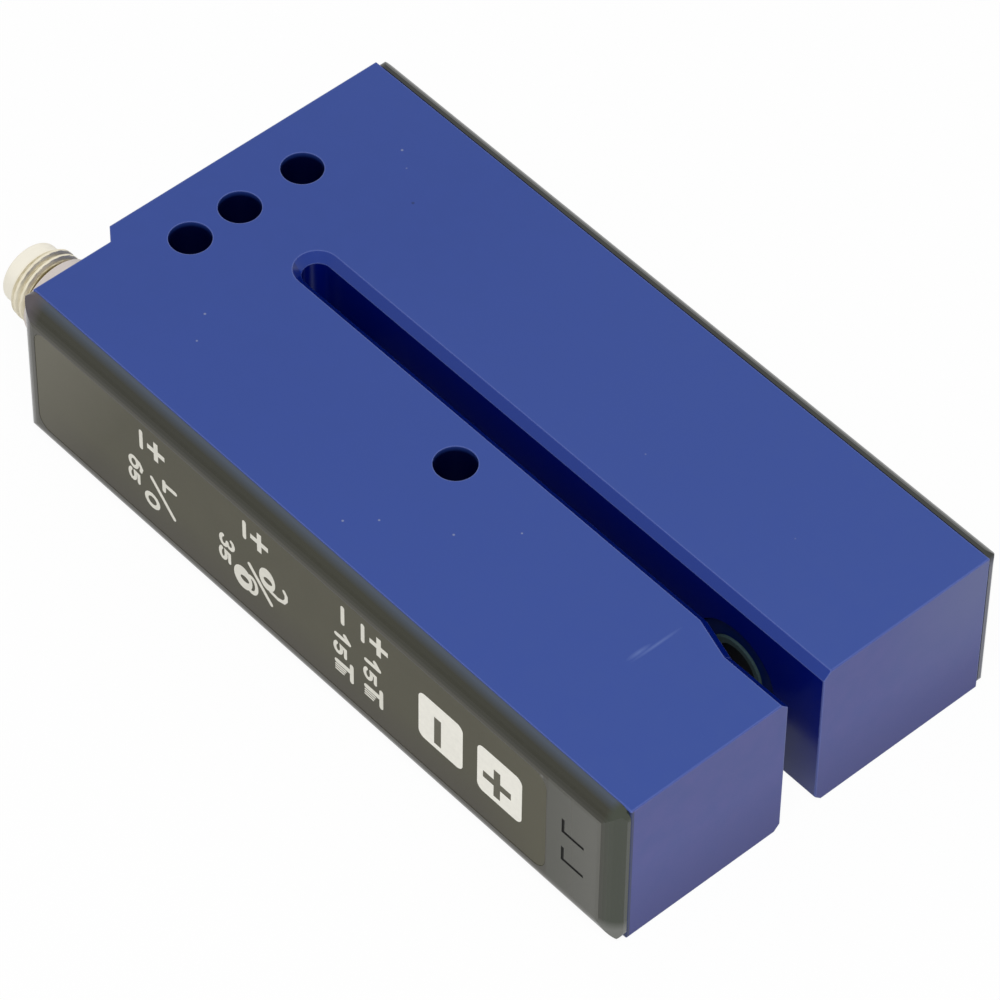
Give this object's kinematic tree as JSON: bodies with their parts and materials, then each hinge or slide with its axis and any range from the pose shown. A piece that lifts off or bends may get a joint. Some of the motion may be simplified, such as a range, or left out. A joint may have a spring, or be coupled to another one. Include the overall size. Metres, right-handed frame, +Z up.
{
  "type": "ultrasonic label sensor",
  "caption": "Fork-shaped ultrasonic label sensor: blue metal body with a long narrow slot, dark side covers, two membrane keys and a round threaded connector.",
  "frame": {"origin": "centre of the overall box, on the flat underside", "axes": "+X towards the open end of the fork, -Y towards the keypad cover, +Z up through the mounting holes"},
  "size_m": [0.0908, 0.047, 0.018],
  "materials": {
    "blue_anodised_aluminium": "fine satin blue anodising",
    "smoke_gloss_plastic": "glossy smoke-grey moulding",
    "label_foil": "warm grey satin polyester foil with pale print",
    "seal_rubber": "matt black elastomer",
    "dark_gloss_plastic": "glossy dark moulding",
    "board_laminate": "green solder mask",
    "chip_epoxy": "matt black epoxy",
    "capacitor_can": "plain drawn can",
    "lamp_resin": "milky resin",
    "switch_plastic": "matt black moulding",
    "plunger_plastic": "off-white moulding",
    "zinc_steel": "zinc plated",
    "capsule_plastic": "dark blue-black moulding",
    "piezo_ceramic": "fired ceramic",
    "potting_resin": "cast resin",
    "ring_elastomer": "grey-green elastomer",
    "copper_wire": "tinned copper",
    "ferrite_core": "sintered ferrite",
    "cable_sheath": "matt black sheath",
    "nickel_plated_brass": "satin nickel plating",
    "insert_plastic": "matt black insulator",
    "gold_plated_brass": "gold flash"
  },
  "bodies": {
    "housing": {"fork_body": "blue_anodised_aluminium", "keypad_cover": "smoke_gloss_plastic", "keypad_label": "label_foil", "keypad_cover_seal": "seal_rubber", "plain_cover": "dark_gloss_plastic", "plain_cover_seal": "seal_rubber", "main_circuit_board": "board_laminate", "processor_chip": "chip_epoxy", "driver_chip": "chip_epoxy", "board_capacitors": "capacitor_can", "power_lamp": "lamp_resin", "output_lamp": "lamp_resin", "minus_key_switch": "switch_plastic", "plus_key_switch": "switch_plastic", "main_board_screws": "zinc_steel", "receiver_capsule": "capsule_plastic", "receiver_disc": "piezo_ceramic", "receiver_backing": "potting_resin", "receiver_ring": "ring_elastomer", "receiver_leads": "copper_wire", "transmitter_board": "board_laminate", "pulse_transformer": "ferrite_core", "transmitter_board_screws": "zinc_steel", "transmitter_capsule": "capsule_plastic", "transmitter_disc": "piezo_ceramic", "transmitter_backing": "potting_resin", "transmitter_ring": "ring_elastomer", "transmitter_leads": "copper_wire", "link_cable": "cable_sheath", "connector_sleeve": "nickel_plated_brass", "connector_seal_ring": "seal_rubber", "connector_insert": "insert_plastic", "contact_pins": "gold_plated_brass"},
    "minus_key": {"minus_key_plunger": "plunger_plastic"},
    "plus_key": {"plus_key_plunger": "plunger_plastic"}
  },
  "joints": [
    {"name": "minus_key_press", "type": "slide", "parent": "housing", "child": "minus_key", "axis": [0, 1, 0], "range_m": [0, 0.00025], "stiffness_N_per_m": 6000},
    {"name": "plus_key_press", "type": "slide", "parent": "housing", "child": "plus_key", "axis": [0, 1, 0], "range_m": [0, 0.00025], "stiffness_N_per_m": 6000}
  ]
}
